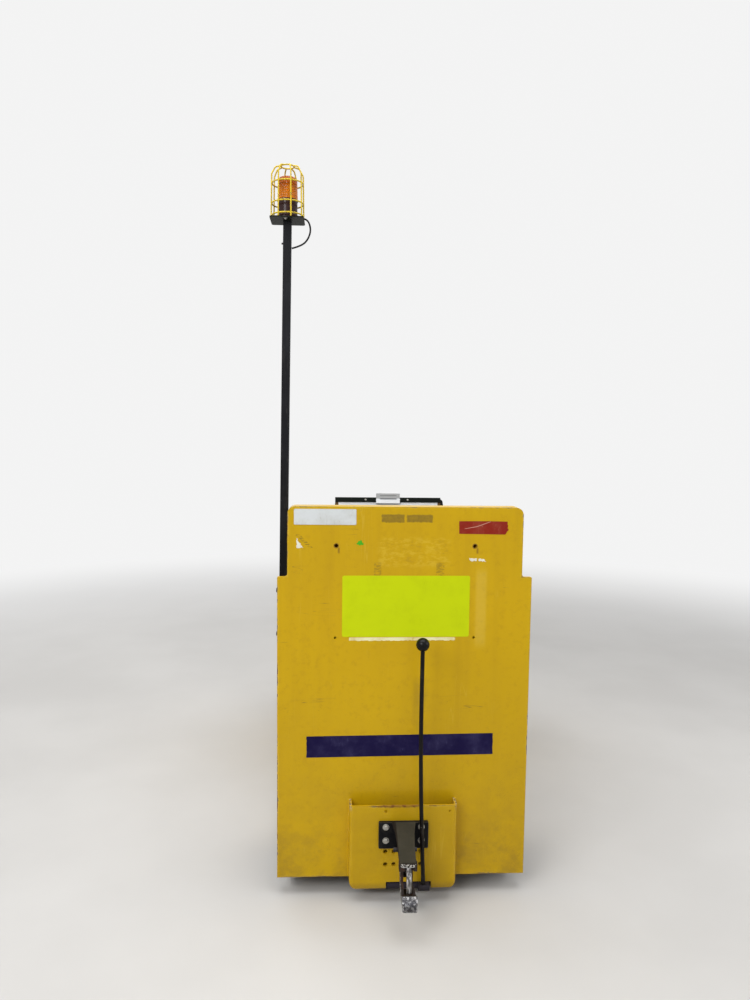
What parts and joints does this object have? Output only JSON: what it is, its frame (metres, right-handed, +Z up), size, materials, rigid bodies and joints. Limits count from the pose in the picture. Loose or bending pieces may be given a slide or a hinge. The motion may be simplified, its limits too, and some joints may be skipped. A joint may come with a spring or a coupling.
{
  "type": "stand-up electric tow tractor",
  "caption": "Stand-up electric tow tractor with rear hitch and release lever, operator platform, lifting battery cover and hood, steered drive wheel and caged amber beacon on a pole.",
  "frame": {"origin": "on the floor, on the tractor's middle plane, half way between the hitch's nose and the front bumper; the beacon's plate overhangs the left side, which moves the box's middle 13 mm to the left", "axes": "+X to the tractor's right, +Y towards its front, the way it drives, +Z up"},
  "size_m": [0.8437, 1.9683, 2.349],
  "materials": {
    "yellow_paint": "gloss enamel, scuffed",
    "black_paint": "satin black paint",
    "black_plastic": "grained moulding",
    "control_plastic": "smooth moulding",
    "rubber": "ribbed rubber",
    "tyre_rubber": "solid press-on tyre",
    "pad_vinyl": "vinyl over foam",
    "cast_iron": "rough casting, worn",
    "bare_steel": "bare worn steel",
    "battery_case": "acid-proof grey coating",
    "motor_paint": "machine grey paint",
    "amber_lens": "amber lens",
    "wire_paint": "yellow coated wire",
    "cable_rubber": "black cable sheath"
  },
  "bodies": {
    "chassis": {"rear_plate": "yellow_paint", "tower_sides": "yellow_paint", "backrest_panel": "yellow_paint", "backrest_pad": "pad_vinyl", "side_frame": "yellow_paint", "bumper": "rubber", "wheel_deck": "yellow_paint", "rear_axle": "black_paint", "platform_floor": "black_paint", "floor_mat": "rubber", "foot_pedal": "rubber", "bulkhead": "yellow_paint", "knee_pad": "pad_vinyl", "battery_bed": "black_paint", "battery": "battery_case", "side_gate_left": "yellow_paint", "side_gate_right": "yellow_paint", "front_wall": "yellow_paint", "drive_mount": "black_paint", "console": "black_plastic", "console_controls": "control_plastic", "clipboard": "bare_steel", "steering_column": "black_plastic", "hitch_bracket": "yellow_paint", "hitch_mount": "black_paint", "hitch_body": "cast_iron", "beacon_pole": "black_paint", "pole_clamps": "black_paint", "beacon_base": "black_plastic", "beacon_lens": "amber_lens", "beacon_cage": "wire_paint", "beacon_cable": "cable_rubber"},
    "rear_wheel_left": {"rear_wheel_left": "black_paint", "rear_tyre_left": "tyre_rubber"},
    "rear_wheel_right": {"rear_wheel_right": "black_paint", "rear_tyre_right": "tyre_rubber"},
    "steered_drive": {"drive_unit": "motor_paint", "drive_motor": "motor_paint"},
    "drive_wheel": {"drive_wheel": "black_paint", "drive_tyre": "tyre_rubber"},
    "battery_lid": {"battery_cover": "yellow_paint"},
    "hood": {"drive_hood": "yellow_paint"},
    "steering": {"steering_handle": "black_paint", "hand_grips": "rubber"},
    "release": {"release_shaft": "black_paint", "release_lever": "black_paint", "lever_knob": "control_plastic"},
    "latch": {"hitch_latch": "bare_steel"}
  },
  "joints": [
    {"name": "rear_wheel_left_spin", "type": "hinge", "parent": "chassis", "child": "rear_wheel_left", "pos_m": [-0.331, -0.54, 0.127], "axis": [1, 0, 0], "continuous": true},
    {"name": "rear_wheel_right_spin", "type": "hinge", "parent": "chassis", "child": "rear_wheel_right", "pos_m": [0.331, -0.54, 0.127], "axis": [1, 0, 0], "continuous": true},
    {"name": "drive_steer", "type": "hinge", "parent": "chassis", "child": "steered_drive", "pos_m": [0, 0.705, 0.436], "axis": [0, 0, 1], "range_deg": [-85, 85]},
    {"name": "drive_wheel_spin", "type": "hinge", "parent": "steered_drive", "child": "drive_wheel", "pos_m": [0, 0.705, 0.165], "axis": [1, 0, 0], "continuous": true},
    {"name": "handle_turn", "type": "hinge", "parent": "chassis", "child": "steering", "pos_m": [0, -0.07, 1.186], "axis": [0, 0, 1], "range_deg": [-60, 60]},
    {"name": "battery_cover_lift", "type": "hinge", "parent": "chassis", "child": "battery_lid", "pos_m": [0, 0.159, 0.991], "axis": [1, 0, 0], "range_deg": [0, 80]},
    {"name": "drive_hood_lift", "type": "hinge", "parent": "chassis", "child": "hood", "pos_m": [0, 0.541, 0.991], "axis": [1, 0, 0], "range_deg": [0, 60]},
    {"name": "release_lever_pull", "type": "hinge", "parent": "chassis", "child": "release", "pos_m": [0, -0.753, 0.056], "axis": [1, 0, 0], "range_deg": [0, 16]},
    {"name": "latch_swing", "type": "hinge", "parent": "chassis", "child": "latch", "pos_m": [0, -0.92, 0.212], "axis": [1, 0, 0], "range_deg": [0, 40]}
  ],
  "couplings": [
    {"joint": "handle_turn", "follows": "drive_steer", "ratio": 0.7},
    {"joint": "latch_swing", "follows": "release_lever_pull", "ratio": 2.5}
  ]
}
